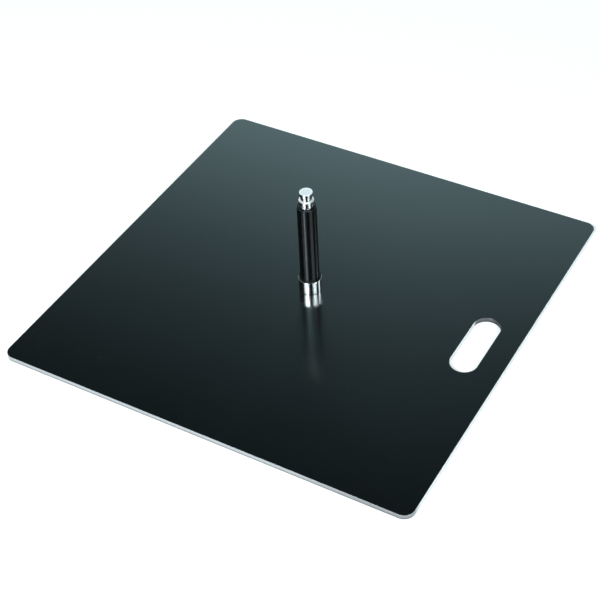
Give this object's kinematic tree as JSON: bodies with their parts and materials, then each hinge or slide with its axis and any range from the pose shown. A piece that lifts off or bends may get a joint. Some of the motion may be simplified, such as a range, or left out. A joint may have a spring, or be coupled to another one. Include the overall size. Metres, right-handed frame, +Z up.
{
  "type": "flag base plate",
  "caption": "Square steel ground plate with a carry slot and a central upright spindle on ball bearings, for a flag pole that slips over it and turns with the wind.",
  "frame": {"origin": "centre of the plate's underside, on the spindle's axis", "axes": "+Z up along the spindle, +X towards the carry slot"},
  "size_m": [0.5, 0.5, 0.145],
  "materials": {
    "black_coat": "satin black coating over steel, bare at the cut edges",
    "chrome": "bright turned and plated",
    "black_sleeve": "smooth glossy black",
    "zinc_steel": "zinc-plated steel",
    "bearing_steel": "ground and polished bearing steel",
    "spring_steel": "phosphated spring steel",
    "aluminium": "cut tube",
    "cage_nylon": "natural nylon",
    "insert_nylon": "blue nylon"
  },
  "bodies": {
    "base": {"base_plate": "black_coat", "axle_bolt": "zinc_steel", "foot_spacer": "zinc_steel", "lower_bearing_inner_ring": "bearing_steel", "bearing_spacer": "aluminium", "upper_bearing_inner_ring": "bearing_steel", "top_washer": "zinc_steel", "lock_nut": "zinc_steel", "lock_nut_insert": "insert_nylon"},
    "spindle": {"collar": "chrome", "collar_circlip": "spring_steel", "lower_bearing_outer_ring": "bearing_steel", "lower_bearing_foot_shield": "bearing_steel", "lower_bearing_top_shield": "bearing_steel", "spindle_tube": "zinc_steel", "pole_sleeve": "black_sleeve", "upper_bearing_outer_ring": "bearing_steel", "upper_bearing_foot_shield": "bearing_steel", "upper_bearing_top_shield": "bearing_steel", "spindle_tip": "chrome"},
    "lower_cage": {"lower_bearing_cage": "cage_nylon", "lower_bearing_ball_1": "bearing_steel", "lower_bearing_ball_2": "bearing_steel", "lower_bearing_ball_3": "bearing_steel", "lower_bearing_ball_4": "bearing_steel", "lower_bearing_ball_5": "bearing_steel", "lower_bearing_ball_6": "bearing_steel", "lower_bearing_ball_7": "bearing_steel"},
    "upper_cage": {"upper_bearing_cage": "cage_nylon", "upper_bearing_ball_1": "bearing_steel", "upper_bearing_ball_2": "bearing_steel", "upper_bearing_ball_3": "bearing_steel", "upper_bearing_ball_4": "bearing_steel", "upper_bearing_ball_5": "bearing_steel", "upper_bearing_ball_6": "bearing_steel", "upper_bearing_ball_7": "bearing_steel", "upper_bearing_ball_8": "bearing_steel", "upper_bearing_ball_9": "bearing_steel"}
  },
  "joints": [
    {"name": "spindle_spin", "type": "hinge", "parent": "base", "child": "spindle", "pos_m": [0, 0, 0.0126], "axis": [0, 0, 1], "continuous": true},
    {"name": "lower_cage_spin", "type": "hinge", "parent": "base", "child": "lower_cage", "pos_m": [0, 0, 0.0126], "axis": [0, 0, 1], "continuous": true},
    {"name": "upper_cage_spin", "type": "hinge", "parent": "base", "child": "upper_cage", "pos_m": [0, 0, 0.11], "axis": [0, 0, 1], "continuous": true}
  ],
  "couplings": [
    {"joint": "lower_cage_spin", "follows": "spindle_spin", "ratio": 0.6323},
    {"joint": "upper_cage_spin", "follows": "spindle_spin", "ratio": 0.5833}
  ]
}
